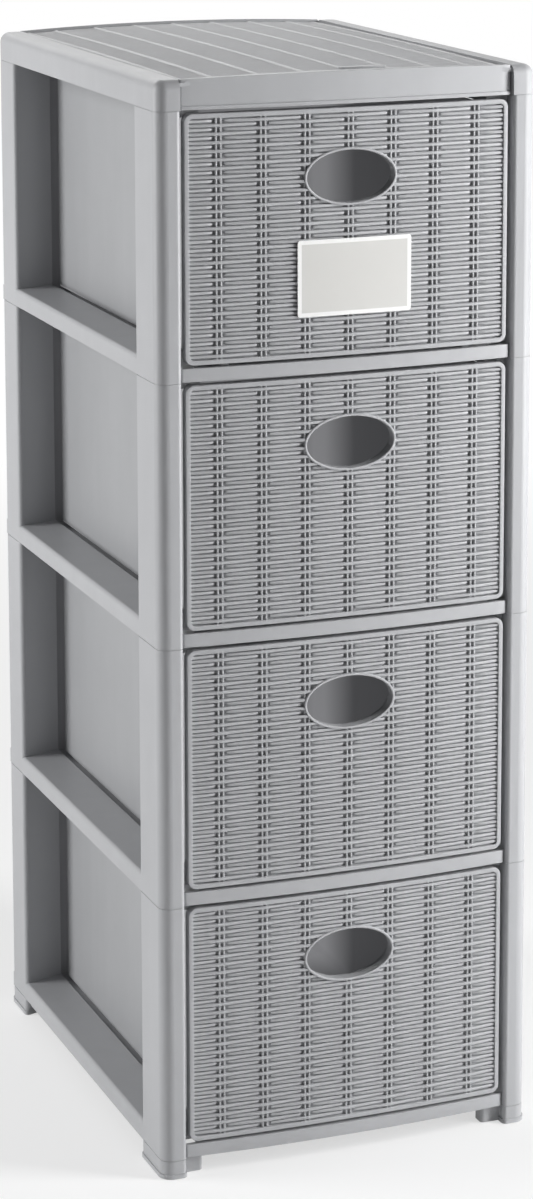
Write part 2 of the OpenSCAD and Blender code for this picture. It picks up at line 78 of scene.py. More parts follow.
# Guide lips, below each seam
GUIDE_H = 0.0059        # how far the lips hang below a seam
GUIDE_IN = 0.0019       # how far they reach into the bay
GUIDE_FRONT = 0.0106    # from the posts' faces back to a lip
GUIDE_SOFT = 0.0004
RETURN_FRONT = 0.0104
RETURN_REAR = 0.0119
RETURN_DROP = 0.0005    # how far a return's top lies below its lip's
RETURN_SOFT = 0.0003

# Woven drawer fronts
FRONT_W = 0.245
FRONT_H = 0.1759
FRONT_Z = RAIL_H + 0.0022
FACE_Y = FRONT_Y + 0.0024
FRONT_BOW = 0.004
BOW_DEPTH = 0.0055      # how far behind its face a front takes part in the bow
EDGE_D = 0.007
PLATE_T = 0.0024
PLATE_CORNER = 0.006
PLATE_ROUND = 0.0013
RIM_W = 0.0032
RIM_H = 0.002
REAR_RIM_LESS = 0.0002  # how much narrower the rim is at the rear
STRAND = 0.003
ROWS = 56
STAKES = [0.0326 * k for k in range(-3, 4)]
# Height of a strand over the plate's old face, by its distance from the pair that it covers
STRAND_DIP = [(0, 0.0019), (0.0030, 0.00185), (0.0050, 0.00172), (0.0268, 0.00035),
              (0.0278, 0.0001), (0.0287, -0.0010), (0.0326, -0.0012)]
STRAND_CUTS = [0.0105, 0.0163, 0.0215]      # more places on the long slope of that dip
STRAND_W = 0.00225      # a strand is narrower than its row
STRAND_T = 0.001        # its thickness before it is bent
STRAND_REAR = 0.0021    # how far its rear lies behind the plate's old face
STRAND_FACE = 0.0018    # edges in front of this depth belong to its face
STRAND_ROUND = 0.0009
SUNK = 0.0011           # how far the plate lies behind that face
STAKE_X = 0.0017        # from a pair's middle to each stake
STAKE_R = 0.0009
STAKE_OUT = 0.0001
STAKE_LAP = 0.001       # how much longer the stakes are than the field in the rim
HOLE_W, HOLE_H = 0.0665, 0.0375
HOLE_Z = FRONT_Z + FRONT_H - 0.0485
HOLE_SIDES = 96
PUNCH_MORE = 0.0009     # how far the cut reaches past the hole's edge, under its rim
PUNCH_D = 0.04
COLLAR_D = 0.005
COLLAR_OUT = 0.0022     # how far the hole's rim stands out
COLLAR_WALL = 0.0018
COLLAR_ROUND = 0.0008

# Top cover
COVER_H = 0.0245
CROWN_X = 0.0035
CROWN_Y = 0.0012
PANEL_DROP = 0.0022
RAIL_DROP = 0.0033      # how far the cover's side rails lie below its crown
COVER_CORNER = 0.009
COVER_SHOULDER = 0.0075
COVER_INNER = 0.0011
BAND_MORE = 0.001       # how much thicker the band is than a shelf's rail
BAND_LIP_H = 0.0024     # height of the lip along the band's lower edge
BAND_LIP_STEP = 0.0005
BAND_LIP_OUT = 0.0007
BAND_TOP = COVER_H - 0.0015
BAND_CROWN = 0.0018
BAND_GROOVE = 0.0009    # between the band's ends and the side rails
BAND_END_ROUND = 0.0014
BAND_TOP_ROUND = 0.0027
PANEL_T = 0.0026
PANEL_END = 0.003       # from the panel's ends to the front and rear faces
PANEL_STEPS = 24
BEAD_IN = 0.006
RIDGE_CUTS = (-0.0021, -0.0014, -0.0007, 0, 0.0007, 0.0014, 0.0021)
RIDGE_LIFTS = ((0.0017, 0.0004), (0.0010, 0.0003), (0.0003, 0.0001))    # half width, lift
CROSS_PITCH = 0.0031
CROSS_W = 0.0019
CROSS_DOWN = 0.0006
CROSS_UP = 0.00028
CROSS_ROUND = 0.0004
CROSS_END = 0.004       # from the panel's ends to the first and last strand
REAR_BAND = (0.0035, 0.0005)    # its faces, from the tower's rear
REAR_STEPS = 20
REAR_SOFT = 0.0009
LOW_BAR_X = (-0.004, 0.030)
LOW_BAR_Y = (0.008, 0.013)      # from the posts' faces
LOW_BAR_SINK = 0.0003
LOW_BAR_DROP = 0.0002
LOW_BAR_SOFT = 0.0003

# Label
LABEL_W, LABEL_H = 0.0865, 0.0545
LABEL_X = 0.003
LABEL_DOWN = 0.1195     # from the top of the drawer front to the label's middle

# Inside of a bin, where painted light glows: an emission stands in for the light seen inside, dim
# at the sides and brighter towards the rear
BIN_X = (-0.107, 0.107)
BIN_Y = (-0.1757, 0.1588)
BIN_FLOOR = 0.0118      # above the tier's seam
PAINTED_GLOW_SIDE = (0.020, 0.020, 0.021)
PAINTED_GLOW_BACK = (0.145, 0.145, 0.150)
PAINTED_GLOW_SHIFT = 0.5        # added to y, since a ramp runs from 0 to 1
PAINTED_GLOW_FROM, PAINTED_GLOW_TO = 0.56, 0.62

GREY = (0.41, 0.415, 0.428)
BIN_GREY = (0.34, 0.345, 0.355)
CARD_WHITE = (0.86, 0.86, 0.85)
CARD_FIELD = (0.62, 0.615, 0.595)


def seam(tier):
    """Height of the seam below a tier, tiers counted from the bottom."""
    return FOOT_H + (tier - 1) * PITCH


def rise(x, half, height):
    """How far an arc of that height over half a chord stands out at x."""
    r = (half * half + height * height) / (2 * height)
    return math.sqrt(r * r - min(abs(x), half) ** 2) - (r - height)


def between(low, high, count):
    """The places that part low to high into that many equal steps, without the two ends."""
    return [low + (high - low) * i / count for i in range(1, count)]


# ---------------------------------------------------------------- bench tools
def clear():
    """Leaves edit mode and deselects everything."""
    if bpy.context.object and bpy.context.object.mode != "OBJECT":
        bpy.ops.object.mode_set(mode="OBJECT")
    bpy.ops.object.select_all(action="DESELECT")


def take(*objs):
    """Selects these objects alone, the first one active."""
    clear()
    for o in objs:
        o.select_set(True)
    bpy.context.view_layer.objects.active = objs[0]
    return objs[0]


def settle(name):
    """Names the new primitive and puts its place, turn and size into its mesh."""
    obj = bpy.context.object
    obj.name = obj.data.name = name
    bpy.ops.object.transform_apply(location=True, rotation=True, scale=True)
    return obj


def block(name, low, high):
    """A block between two corners."""
    clear()
    bpy.ops.mesh.primitive_cube_add(size=1, location=[(a + b) / 2 for a, b in zip(low, high)],
                                    scale=[b - a for a, b in zip(low, high)])
    return settle(name)


def pick(obj, test, kind="VERT"):
    """Selects in edit mode the vertices, edges or faces whose middle (and normal) pass a test."""
    if obj.mode != "EDIT":
        take(obj)
        bpy.ops.object.mode_set(mode="EDIT")
    bpy.ops.mesh.select_mode(type=kind)
    bpy.ops.mesh.select_all(action="DESELECT")
    bm = bmesh.from_edit_mesh(obj.data)
    found = 0
    for item in {"VERT": bm.verts, "EDGE": bm.edges, "FACE": bm.faces}[kind]:
        if kind == "VERT":
            hit = test(item.co)
        elif kind == "EDGE":
            hit = test(item.verts[0].co, item.verts[1].co)
        else:
            hit = test(item.calc_center_median(), item.normal)
        if hit:
            item.select_set(True)
            found += 1
    bm.select_flush_mode()
    bmesh.update_edit_mesh(obj.data)
    return found


def cut_columns(obj, places, axis=0):
    """Cuts edges all round a piece at these places along an axis."""
    take(obj)
    bpy.ops.object.mode_set(mode="EDIT")
    normal = [0, 0, 0]
    normal[axis] = 1
    for p in places:
        at = [0, 0, 0]
        at[axis] = p
        bpy.ops.mesh.select_all(action="SELECT")
        bpy.ops.mesh.bisect(plane_co=at, plane_no=normal, use_fill=False)


def push(obj, rule, where=lambda co: True, along=0):
    """Moves every column of vertices by what a rule gives for its place along an axis."""
    take(obj)
    bpy.ops.object.mode_set(mode="EDIT")
    bm = bmesh.from_edit_mesh(obj.data)
    places = sorted({round(v.co[along], 6) for v in bm.verts if where(v.co)})
    for p in places:
        by = rule(p)
        if Vector(by).length < 1e-7:
            continue
        pick(obj, lambda co: abs(co[along] - p) < 2e-6 and where(co))
        bpy.ops.transform.translate(value=by)
    bpy.ops.object.mode_set(mode="OBJECT")


def round_edges(obj, test, width, segments=4):
    """Bevels the edges whose two ends pass a test."""
    if pick(obj, test, "EDGE"):
        bpy.ops.mesh.bevel(offset=width, segments=segments, affect="EDGES", clamp_overlap=True)
    bpy.ops.object.mode_set(mode="OBJECT")
    return obj


def finish_with(obj, kind, **settings):
    """Adds a modifier with these settings and applies it."""
    take(obj)
    mod = obj.modifiers.new(kind.title(), kind)
    for key, value in settings.items():
        setattr(mod, key, value)
    bpy.ops.object.modifier_apply(modifier=mod.name)
    return obj


def soften(obj, width, segments=2):
    """Takes the sharpness off all edges."""
    return finish_with(obj, "BEVEL", width=width, segments=segments, limit_method="ANGLE")


def repeat(obj, count, step):
    """Repeats a piece in equal steps, all in one mesh."""
    return finish_with(obj, "ARRAY", count=count, use_relative_offset=False,
                       use_constant_offset=True, constant_offset_displace=step)


def weld(name, *objs):
    """Joins pieces into the first one."""
    take(*objs)
    bpy.ops.object.join()
    objs[0].name = objs[0].data.name = name
    return objs[0]


def smooth(obj, degrees=32):
    """Shades smooth, apart from edges sharper than this."""
    take(obj)
    bpy.ops.object.shade_smooth_by_angle(angle=math.radians(degrees))
    return obj


def copy_up(obj, name, lift):
    """A copy with its own mesh, lifted to another tier."""
    take(obj)
    bpy.ops.object.duplicate()
    twin = bpy.context.object
    twin.name = twin.data.name = name
    bpy.ops.transform.translate(value=(0, 0, lift))
    bpy.ops.object.transform_apply(location=True, rotation=True, scale=True)
    return twin


def drop(obj):
    """Removes a mould that has been copied to where it is needed."""
    bpy.data.objects.remove(obj)


# ---------------------------------------------------------------- materials
class Shade:
    """A socket of a node tree that Python's operators work on."""

    def __init__(self, tree, socket):
        self.tree, self.socket = tree, socket

    def __add__(self, other):
        return self.tree.calc("ADD", self, other)

    def __radd__(self, other):
        return self.tree.calc("ADD", other, self)

    def __sub__(self, other):
        return self.tree.calc("SUBTRACT", self, other)

    def __rsub__(self, other):
        return self.tree.calc("SUBTRACT", other, self)

    def __mul__(self, other):
        return self.tree.calc("MULTIPLY", self, other)

    def __rmul__(self, other):
        return self.tree.calc("MULTIPLY", other, self)


class Finish:
    """A material with a Principled shader, its nodes added by one method."""

    def __init__(self, name, **constants):
        self.mat = bpy.data.materials.new(name)
        self.mat.use_nodes = True
        self.nodes, self.links = self.mat.node_tree.nodes, self.mat.node_tree.links
        self.nodes.clear()
        self.shader = self.nodes.new("ShaderNodeBsdfPrincipled")
        out = self.nodes.new("ShaderNodeOutputMaterial")
        self.links.new(self.shader.outputs[0], out.inputs[0])
        for key, value in constants.items():
            self.shader.inputs[key.replace("_", " ")].default_value = value

    def add(self, kind, settings=None, sockets=None, out=0):
        """Adds a node: its settings first, then the values or links of its sockets."""
        node = self.nodes.new(kind)
        for key, value in (settings or {}).items():
            if key == "stops":
                stops = node.color_ramp.elements
                for i, (place, colour) in enumerate(value):
                    stop = stops[i] if i < 2 else stops.new(place)
                    stop.position, stop.color = place, colour
            else:
                setattr(node, key, value)
        for key, value in (sockets or {}).items():
            if isinstance(value, Shade):
                self.links.new(value.socket, node.inputs[key])
            else:
                node.inputs[key].default_value = value
        return Shade(self, node.outputs[out])

    def calc(self, operation, a, b):
        """Number worked out from two others."""
        return self.add("ShaderNodeMath", {"operation": operation}, {0: a, 1: b})

    def mix(self, factor, first, second):
        """Colour between two others."""
        return self.add("ShaderNodeMix", {"data_type": "RGBA"}, {0: factor, 6: first, 7: second},
                        out=2)

    def feed(self, key, value):
        """Links a value to a socket of the shader."""
        self.links.new(value.socket, self.shader.inputs[key])

    def place(self, scale=(1, 1, 1)):
        """Object coordinates, stretched."""
        co = self.add("ShaderNodeTexCoord", out="Object")
        return self.add("ShaderNodeMapping", {}, {"Vector": co, "Scale": scale})

    def axes(self, which):
        """Object coordinates as single numbers, one for each axis asked for."""
        co = self.add("ShaderNodeTexCoord", out="Object")
        return [self.add("ShaderNodeSeparateXYZ", {}, {"Vector": co}, out=k) for k in which]

    def noise(self, vector, scale, detail=2.0, rough=0.5):
        return self.add("ShaderNodeTexNoise", {}, {"Vector": vector, "Scale": scale,
                                                   "Detail": detail, "Roughness": rough})

    def ramp(self, value, low, high, dark, light):
        """Turns a number between two limits into a colour between two others."""
        return self.add("ShaderNodeValToRGB", {"stops": [(low, (*dark, 1)), (high, (*light, 1))]},
                        {"Fac": value})

    def grain(self, height, strength, depth):
        """Fine relief of the surface."""
        bump = self.add("ShaderNodeBump", {},
                        {"Height": height, "Strength": strength, "Distance": depth})
        self.feed("Normal", bump)


def moulded_plastic(name, tone, rough, fleck=0.03):
    """Satin moulded plastic: faint flow marks in its colour, uneven sheen and a fine skin."""
    m = Finish(name, IOR=1.46, Specular_IOR_Level=0.5)
    co = m.place()
    broad = m.noise(co, 9.0, 3.0)
    streak = m.noise(m.place((30, 30, 4)), 2.0, 2.0)
    low = [c * (1 - fleck) for c in tone]
    high = [c * (1 + fleck) for c in tone]
    m.feed("Base Color", m.ramp(broad * 0.6 + streak * 0.4, 0.35, 0.65, low, high))
    skin = m.noise(co, 900.0, 3.0, 0.6)
    sheen = m.noise(co, 40.0, 2.0)
    m.feed("Roughness", sheen * 0.1 + skin * 0.04 + (rough - 0.07))
    m.grain(skin, strength=0.25, depth=0.00012)
    return m


def bin_plastic_painted_glow(name, tone):
    """Moulded plastic whose closed inside glows faintly: painted light, an emission dim at the
    sides and brighter towards the rear.
    """
    m = moulded_plastic(name, tone, 0.45)
    x, y, z = m.axes((0, 1, 2))

    def within(value, limits):
        return m.calc("GREATER_THAN", value, limits[0]) * m.calc("LESS_THAN", value, limits[1])

    tier_z = m.calc("MODULO", z - FOOT_H, PITCH)
    inside = within(x, BIN_X) * within(y, BIN_Y) * m.calc("GREATER_THAN", tier_z, BIN_FLOOR)
    # Painted light: a faint emission inside the bin, dim at the sides and brighter towards the
    # rear
    painted_glow = m.ramp(y + PAINTED_GLOW_SHIFT, PAINTED_GLOW_FROM, PAINTED_GLOW_TO, PAINTED_GLOW_SIDE, PAINTED_GLOW_BACK)
    m.feed("Emission Color", m.mix(inside, (0, 0, 0, 1), painted_glow))
    m.shader.inputs["Emission Strength"].default_value = 1
    return m


def label_card():
    """Coated card: a white border 3 mm wide round a plain pale field."""
    m = Finish("pale_card", IOR=1.5)
    x, z = m.axes((0, 2))
    # Distance inside the card's edge, from the nearer of its two directions
    dx = m.calc("ABSOLUTE", x - LABEL_X, 0)
    dz = m.calc("ABSOLUTE", z - (seam(TIERS) + FRONT_Z + FRONT_H - LABEL_DOWN), 0)
    inset = m.calc("MINIMUM", LABEL_W / 2 - dx, LABEL_H / 2 - dz)
    paper = m.noise(m.place(), 60.0, 3.0)
    field = inset * 100.0 + paper * 0.006
    m.feed("Base Color", m.ramp(field, 0.27, 0.33, CARD_WHITE, CARD_FIELD))
    m.feed("Roughness", paper * 0.12 + 0.34)
    m.grain(m.noise(m.place(), 1400.0, 2.0), strength=0.12, depth=0.00006)
    return m


frame_finish = moulded_plastic("satin_grey_frame", GREY, 0.42).mat
front_finish = moulded_plastic("satin_grey_weave", GREY, 0.38, fleck=0.04).mat
bin_finish = bin_plastic_painted_glow("satin_grey_bin", BIN_GREY).mat
card_finish = label_card().mat


def dress(obj, finish):
    """Gives a piece its material, in a single slot."""
    obj.data.materials.clear()
    obj.data.materials.append(finish)


for name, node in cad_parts.items():
    look = frame_finish
    if name.startswith("drawer_bin"):
        look = bin_finish
    if name == "label":
        look = card_finish
    for s in node.material_slots:
        s.material = look


# ---------------------------------------------------------------- woven drawer fronts
def bow(x):
    """How far a drawer front stands out at x."""
    return rise(x, FRONT_W / 2, FRONT_BOW)


def face(x):
    """Plate surface of a drawer front at x."""
    return FACE_Y + RIM_H - bow(x)


def strand_height(x, over_first):
    """Height of a strand above the plate: over one pair of stakes, then under the next."""
    step = STAKES[1] - STAKES[0]
    u = (x - STAKES[0]) / step
    k = math.floor(u)
    t = u - k
    rising = (k % 2 == 0) != over_first
    if rising:
        t = 1 - t
    t *= step
    for (a, ha), (b, hb) in zip(STRAND_DIP, STRAND_DIP[1:]):
        if a <= t <= b + 1e-9:
            return ha + (hb - ha) * (t - a) / (b - a)
    return STRAND_DIP[-1][1]


def strand_bar(name, over_first):
    """One strand, bent over and under the pairs of stakes and rounded along its face."""
    half = FRONT_W / 2 - RIM_W
    bar = block(name, (-half, FACE_Y - STRAND_T, 0), (half, FACE_Y, STRAND_W))
    near = [d for d, _ in STRAND_DIP[:-1]] + STRAND_CUTS
    places = sorted({round(s + side * d, 6) for s in STAKES for side in (-1, 1) for d in near
                     if abs(s + side * d) < half - SKIN})
    cut_columns(bar, places)
    push(bar, lambda x: (0, face(x) - strand_height(x, over_first) - (FACE_Y - STRAND_T), 0),
         lambda co: co.y < FACE_Y - STRAND_T / 2)
    push(bar, lambda x: (0, face(x) + STRAND_REAR - FACE_Y, 0),
         lambda co: abs(co.y - FACE_Y) < FINE)

    def along_face(a, b):
        in_front = a.y < face(a.x) + STRAND_FACE and b.y < face(b.x) + STRAND_FACE
        return in_front and abs(a.z - b.z) < FINE and abs(a.x - b.x) > FINE

    round_edges(bar, along_face, STRAND_ROUND, 4)
    return bar


def strands():
    """All the strands, as two sets that pass the stakes in turn."""
    first = FRONT_Z + (FRONT_H - ROWS * STRAND) / 2
    sets = []
    for k in (0, 1):
        bar = strand_bar("strand", k == 0)
        pick(bar, lambda co: True)
        lift = first + k * STRAND + (STRAND - STRAND_W) / 2
        bpy.ops.transform.translate(value=(0, 0, lift))
        bpy.ops.object.mode_set(mode="OBJECT")
        sets.append(repeat(bar, ROWS // 2, (0, 0, 2 * STRAND)))
    return sets


def stake_pairs():
    """Two slim stakes to each pair."""
    stakes = []
    for s in STAKES:
        for side in (-1, 1):
            x = s + side * STAKE_X
            clear()
            bpy.ops.mesh.primitive_cylinder_add(
                vertices=14, radius=STAKE_R, depth=FRONT_H - 2 * RIM_W + STAKE_LAP,
                location=(x, face(x) - STAKE_OUT, FRONT_Z + FRONT_H / 2))
            stakes.append(settle("stake"))
    return weld("stakes", *stakes)


def plate():
    """Plate with its rim: a rounded tray, bowed from side to side."""
    half, rear = FRONT_W / 2, FACE_Y + EDGE_D
    tray = block("tray", (-half, FACE_Y, FRONT_Z), (half, rear, FRONT_Z + FRONT_H))
    round_edges(tray, lambda a, b: abs(a.y - b.y) > SKIN, PLATE_CORNER, 8)
    pick(tray, lambda c, n: n.y < -0.9, "FACE")
    bpy.ops.mesh.inset(thickness=RIM_W, depth=0)
    bpy.ops.mesh.inset(thickness=0.0001, depth=-RIM_H - SUNK)
    pick(tray, lambda c, n: n.y > 0.9 and c.y > rear - CLOSE, "FACE")
    bpy.ops.mesh.inset(thickness=RIM_W - REAR_RIM_LESS, depth=0)
    bpy.ops.mesh.inset(thickness=0.0001, depth=-(EDGE_D - RIM_H - PLATE_T))
    bpy.ops.object.mode_set(mode="OBJECT")
    cut_columns(tray, between(-half, half, BOW_STEPS))
    push(tray, lambda x: (0, -bow(x), 0), lambda co: co.y < FACE_Y + BOW_DEPTH)

    def rim_edge(a, b):
        on_face = max(abs(p.y - (FACE_Y - bow(p.x))) for p in (a, b)) < CLOSE
        return on_face and not (abs(a.x - b.x) < FINE and abs(a.z - b.z) < RIM_W * 1.2)

    return round_edges(tray, rim_edge, PLATE_ROUND, 4)


def oval(name, y, depth, more=0.0, **settings):
    """A cylinder from front to back as wide and high as the finger hole, or a little more."""
    clear()
    bpy.ops.mesh.primitive_cylinder_add(
        vertices=HOLE_SIDES, radius=1, depth=depth, location=(0, y, HOLE_Z),
        rotation=(math.pi / 2, 0, 0), scale=(HOLE_W / 2 + more, HOLE_H / 2 + more, 1), **settings)
    return settle(name)


def hole_rim():
    """Raised rim of the finger hole."""
    low, high = face(0) - COLLAR_OUT, face(0) + COLLAR_D
    collar = oval("collar", (low + high) / 2, high - low, end_fill_type="NOTHING")
    finish_with(collar, "SOLIDIFY", thickness=COLLAR_WALL, offset=1, use_even_offset=True)
    return round_edges(collar, lambda a, b: max(a.y, b.y) < low + FINE, COLLAR_ROUND, 4)


def woven_front():
    """Plate, stakes and strands with the finger hole cut through all of them, and its rim."""
    layers = [*strands(), stake_pairs()]
    tray = plate()
    punch = oval("punch", FACE_Y, PUNCH_D, PUNCH_MORE)
    for piece in [*layers, tray]:
        finish_with(piece, "BOOLEAN", operation="DIFFERENCE", object=punch, solver="MANIFOLD")
    drop(punch)
    return smooth(weld("drawer_front_woven", tray, hole_rim(), *layers), 38)


woven = woven_front()
for tier in range(1, TIERS + 1):
    piece = copy_up(woven, f"woven_front_{tier}", seam(tier))
    dress(piece, front_finish)
    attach(piece, f"drawer_{tier}")
    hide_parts(f"drawer_front_{tier}")
drop(woven)


# ---------------------------------------------------------------- shelves
def shelf_piece():
    """Bowed front rail, the deck behind it with its runners and ribs, and a rear rail."""
    x, y = JAMB_X - GAP, FRONT_Y + RAIL_BACK
    rail = block("rail", (-x, y, 0), (x, y + RAIL_WALL, RAIL_H))
    cut_columns(rail, between(-x, x, BOW_STEPS))
    push(rail, lambda p: (0, -rise(p, x, RAIL_BOW), 0), lambda co: co.y < y + SKIN)
    round_edges(rail, lambda a, b: min(abs(a.x), abs(b.x)) > x - CLOSE
                and max(abs(a.y - y), abs(b.y - y)) < CLOSE, RAIL_END_ROUND, 5)

    def along_rail(a, b):
        in_front = max(a.y, b.y) < y + 0.0021
        return in_front and abs(a.z - b.z) < FINE and (a - b).length > CLOSE \
            and not abs(a.y - b.y) > 0.0022

    round_edges(rail, along_rail, RAIL_ROUND, 4)
    deck_x, rear = BAY_X - GAP, REAR_Y - DECK_REAR
    deck = block("deck", (-deck_x, y + DECK_FRONT, RAIL_H - DECK_T), (deck_x, rear, RAIL_H))
    back = block("rear_rail", (-deck_x, rear - RAIL_WALL, 0), (deck_x, rear, RAIL_H))
    parts = [rail, deck, back]
    for side in (-1, 1):
        middle = side * RUNNER_X
        parts.append(block("runner", (middle - RUNNER_HALF, y + RAIL_WALL, RAIL_H - LAP),
                           (middle + RUNNER_HALF, REAR_Y - TRACK_REAR, RAIL_H + RUNNER_H)))
    for i in range(1, RIBS + 1):
        c = y + i * (rear - y) / (RIBS + 1)
        parts.append(block("rib", (-RIB_X, c - RIB_HALF, RAIL_H - DECK_T - RIB_D),
                           (RIB_X, c + RIB_HALF, RAIL_H - DECK_T + LAP)))
    for p in parts[1:]:
        soften(p, SHELF_SOFT)
    return smooth(weld("shelf", *parts))


def guide_lips(top):
    """Two thin lips under a tier's deck or the cover, to keep a drawer level and light out."""
    lips = []
    for side in (-1, 1):
        inner = side * (BAY_X - GUIDE_IN)
        lo, hi = sorted((inner, side * (BAY_X - GAP)))
        lip = block("guide_lip", (lo, FRONT_Y + GUIDE_FRONT, -GUIDE_H),
                    (hi, REAR_Y - TRACK_REAR, top))
        lips.append(soften(lip, GUIDE_SOFT))
        # Return from the lip's front end to the post, behind the drawer front
        lo, hi = sorted((inner, side * (JAMB_X - GAP)))
        stop = block("guide_return", (lo, FRONT_Y + RETURN_FRONT, -GUIDE_H),
                     (hi, FRONT_Y + RETURN_REAR, top - RETURN_DROP))
        lips.append(soften(stop, RETURN_SOFT))
    return weld("guide_lips", *lips)


lips = smooth(guide_lips(RAIL_H - DECK_T + 0.0002))
for tier in range(2, TIERS + 1):
    piece = copy_up(lips, f"guide_lips_{tier}", seam(tier))
    dress(piece, frame_finish)
    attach(piece, "carcass")
drop(lips)

shelf = shelf_piece()
for tier in range(1, TIERS + 1):
    piece = copy_up(shelf, f"shelf_moulding_{tier}", seam(tier))
    dress(piece, frame_finish)
    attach(piece, "carcass")
    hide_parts(f"shelf_{tier}")
drop(shelf)


# ---------------------------------------------------------------- top cover
def cover_rail(side):
    """Side rail of the cover: rounded ends and a broad rounded outer shoulder."""
    outer_x, inner_x = side * HALF_W, side * JAMB_X
    lo, hi = sorted((outer_x, inner_x))
    top = COVER_H - RAIL_DROP
    rail = block("cover_rail", (lo, FRONT_Y, 0), (hi, REAR_Y, top))

    def on_inner(a, b):
        return max(abs(a.x - inner_x), abs(b.x - inner_x)) < CLOSE

    round_edges(rail, lambda a, b: abs(a.z - b.z) > 0.01 and abs(a.x - outer_x) < CLOSE,
                COVER_CORNER, 10)
    round_edges(rail, lambda a, b: min(a.z, b.z) > top - CLOSE and not on_inner(a, b),
                COVER_SHOULDER, 9)
    round_edges(rail, lambda a, b: min(a.z, b.z) > top - 0.0002 and on_inner(a, b)
                and abs(a.y - b.y) > 0.1, COVER_INNER, 3)
    return rail


def cover_band():
    """Front band: fine lip below, rounded top edge, rounded ends that leave a groove."""
    y, end = FRONT_Y + RAIL_BACK, JAMB_X - BAND_GROOVE
    band = block("band", (-end, y, 0), (end, y + RAIL_WALL + BAND_MORE, BAND_TOP))
    cut_columns(band, between(-end, end, BOW_STEPS))
    cut_columns(band, (BAND_LIP_H, BAND_LIP_H + BAND_LIP_STEP), 2)
    push(band, lambda p: (0, -rise(p, JAMB_X, RAIL_BOW), 0), lambda co: co.y < y + SKIN)
    push(band, lambda p: (0, 0, rise(p, JAMB_X, BAND_CROWN) - BAND_CROWN),
         lambda co: co.z > BAND_TOP - 0.0001)
    pick(band, lambda co: co.y < y + SKIN and co.z > BAND_LIP_H + 0.0003)
    bpy.ops.transform.translate(value=(0, BAND_LIP_OUT, 0))
    bpy.ops.object.mode_set(mode="OBJECT")
    round_edges(band, lambda a, b: min(abs(a.x), abs(b.x)) > end - CLOSE
                and max(a.y, b.y) < y + SKIN and abs(a.z - b.z) > CLOSE, BAND_END_ROUND, 4)

    def top_edge(a, b):
        high = min(a.z, b.z) > BAND_TOP - BAND_CROWN - CLOSE and abs(a.z - b.z) < 0.002
        return high and abs(a.x - b.x) > FINE and max(a.y, b.y) < y + 0.0022

    round_edges(band, top_edge, BAND_TOP_ROUND, 8)
    return band


def crown(x):
    """How far the cover's panel rises at x above its sides."""
    return rise(x, JAMB_X, CROWN_X)


def cover_panel():
    """Domed panel: ridges from front to back, fine strands across, a bead along each side."""
    mid, half_d = (FRONT_Y + REAR_Y) / 2, (REAR_Y - FRONT_Y) / 2 - PANEL_END
    edge = COVER_H - PANEL_DROP - CROWN_X
    ridges = STAKES + [-JAMB_X + BEAD_IN, JAMB_X - BEAD_IN]
    panel = block("panel", (-JAMB_X, mid - half_d, edge - PANEL_T), (JAMB_X, mid + half_d, edge))
    lines = sorted({round(s + d, 6) for s in ridges for d in RIDGE_CUTS})
    cut_columns(panel, sorted(lines + [p for p in between(-JAMB_X, JAMB_X, PANEL_STEPS)
                                       if min(abs(p - q) for q in lines) > 0.001]))
    for width, lift in RIDGE_LIFTS:
        pick(panel, lambda co: co.z > edge - SKIN and any(abs(co.x - s) < width for s in ridges))
        bpy.ops.transform.translate(value=(0, 0, lift))
    bpy.ops.object.mode_set(mode="OBJECT")
    cut_columns(panel, between(mid - half_d, mid + half_d, PANEL_STEPS), 1)
    push(panel, lambda p: (0, 0, crown(p)))
    push(panel, lambda p: (0, 0, rise(p - mid, half_d, CROWN_Y)), along=1)
    # Fine strands across, each a flat bar with softened edges
    first = mid - half_d + CROSS_END
    bar = block("cross_strand", (-JAMB_X, first, edge - CROSS_DOWN),
                (JAMB_X, first + CROSS_W, edge + CROSS_UP))
    cut_columns(bar, between(-JAMB_X, JAMB_X, PANEL_STEPS))
    push(bar, lambda p: (0, 0, crown(p)))
    round_edges(bar, lambda a, b: abs(a.x - b.x) > FINE and abs(a.y - b.y) < FINE
                and min(a.z - crown(a.x), b.z - crown(b.x)) > edge, CROSS_ROUND, 2)
    count = int((2 * half_d - 2 * CROSS_END) / CROSS_PITCH)
    repeat(bar, count, (0, CROSS_PITCH, 0))
    for i in range(count):
        at = first + i * CROSS_PITCH + CROSS_W / 2
        pick(bar, lambda co: abs(co.y - at) < CROSS_PITCH / 2)
        bpy.ops.transform.translate(value=(0, 0, rise(at - mid, half_d, CROWN_Y)))
    bpy.ops.object.mode_set(mode="OBJECT")
    return [panel, bar]


def rear_band():
    """Upright band that closes the cover at the rear."""
    crest = COVER_H - CROWN_X
    rear = block("rear_band", (-JAMB_X, REAR_Y - REAR_BAND[0], 0),
                 (JAMB_X, REAR_Y - REAR_BAND[1], crest))
    cut_columns(rear, between(-JAMB_X, JAMB_X, REAR_STEPS))
    push(rear, lambda p: (0, 0, crown(p)), lambda co: co.z > crest - SKIN)
    return soften(rear, REAR_SOFT, 3)


def low_bar():
    """Low plain bar behind the middle of the front band."""
    bar = block("low_bar",
                (LOW_BAR_X[0], FRONT_Y + LOW_BAR_Y[0], COVER_H - PANEL_DROP - LOW_BAR_SINK),
                (LOW_BAR_X[1], FRONT_Y + LOW_BAR_Y[1], COVER_H - LOW_BAR_DROP))
    return soften(bar, LOW_BAR_SOFT)


def cover_piece():
    """Side rails, bands, panel, bar and guide lips of the cover, lifted to the top."""
    parts = [cover_rail(-1), cover_rail(1), cover_band(), rear_band(), low_bar(),
             guide_lips(COVER_H - PANEL_DROP - CROWN_X - 0.001), *cover_panel()]
    cover = weld("cover_moulding", *parts)
    take(cover)
    bpy.ops.transform.translate(value=(0, 0, seam(TIERS + 1)))
    bpy.ops.object.transform_apply(location=True, rotation=True, scale=True)
    return smooth(cover)


cover = cover_piece()
dress(cover, frame_finish)
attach(cover, "carcass")
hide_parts("top_cover")


